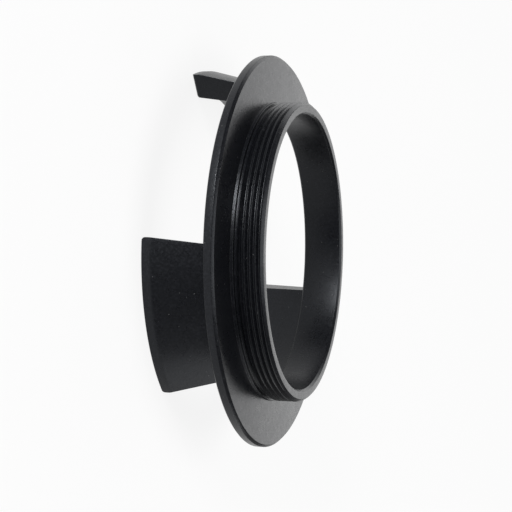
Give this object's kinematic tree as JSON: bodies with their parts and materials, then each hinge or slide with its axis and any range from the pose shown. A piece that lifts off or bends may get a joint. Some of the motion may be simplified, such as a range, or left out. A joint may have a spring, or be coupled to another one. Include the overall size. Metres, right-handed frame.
{
  "type": "lens mount adapter",
  "caption": "One-piece black ring that joins a lens to another mount: a thin flange, a short nose with a fine metric thread, a plain light bore, and flared arms behind.",
  "frame": {"origin": "on the optical axis, in the plane of the flange's front face, where a lens or body screwed onto the nose seats", "axes": "+Z along the optical axis towards the threaded nose, +X through the middle of the first arm; the part stands on its arm tips, nose up"},
  "size_m": [0.055, 0.055, 0.0148],
  "materials": {
    "black_anodised": "fine matte black anodising over a blasted surface"
  },
  "bodies": {
    "root": {"adapter_body": "black_anodised"}
  },
  "joints": []
}
